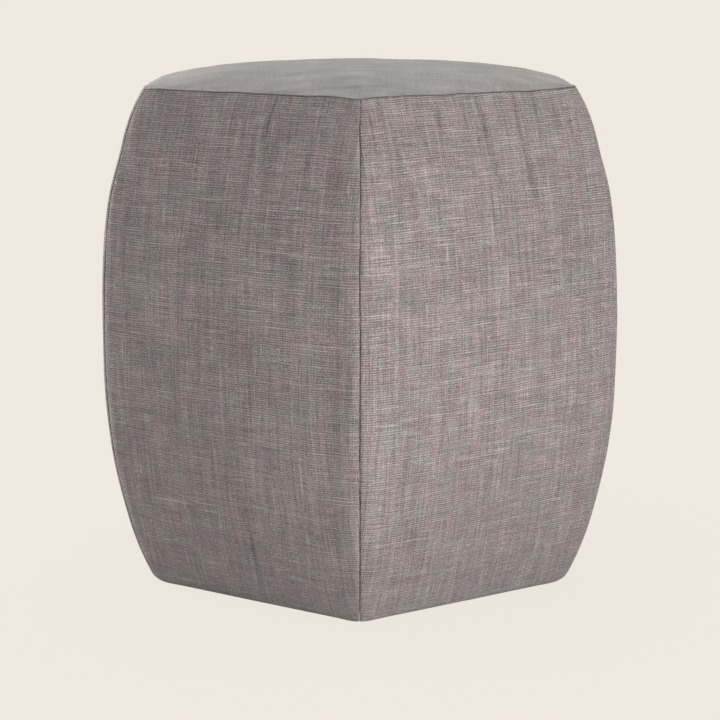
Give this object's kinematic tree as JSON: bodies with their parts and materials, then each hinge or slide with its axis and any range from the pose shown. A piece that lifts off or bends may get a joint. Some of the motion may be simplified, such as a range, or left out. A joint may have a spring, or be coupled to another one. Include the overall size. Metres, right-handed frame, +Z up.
{
  "type": "hexagonal ottoman",
  "caption": "Hexagonal padded ottoman with barrel-shaped linen sides, a softly crowned top and plain corner seams, for use as a footstool or low seat.",
  "frame": {"origin": "middle of the flat underside, on the floor", "axes": "+Z up, with one vertical corner seam towards -Y and the middle of one side panel towards +X"},
  "size_m": [0.4438, 0.4916, 0.445],
  "materials": {
    "linen": "matt woven linen, greyed taupe, with slubs",
    "base_cloth": "plain matt cloth, dark grey"
  },
  "bodies": {
    "root": {"top_panel": "linen", "side_panel_1": "linen", "side_panel_2": "linen", "side_panel_3": "linen", "side_panel_4": "linen", "side_panel_5": "linen", "side_panel_6": "linen", "base_panel": "base_cloth"}
  },
  "joints": []
}
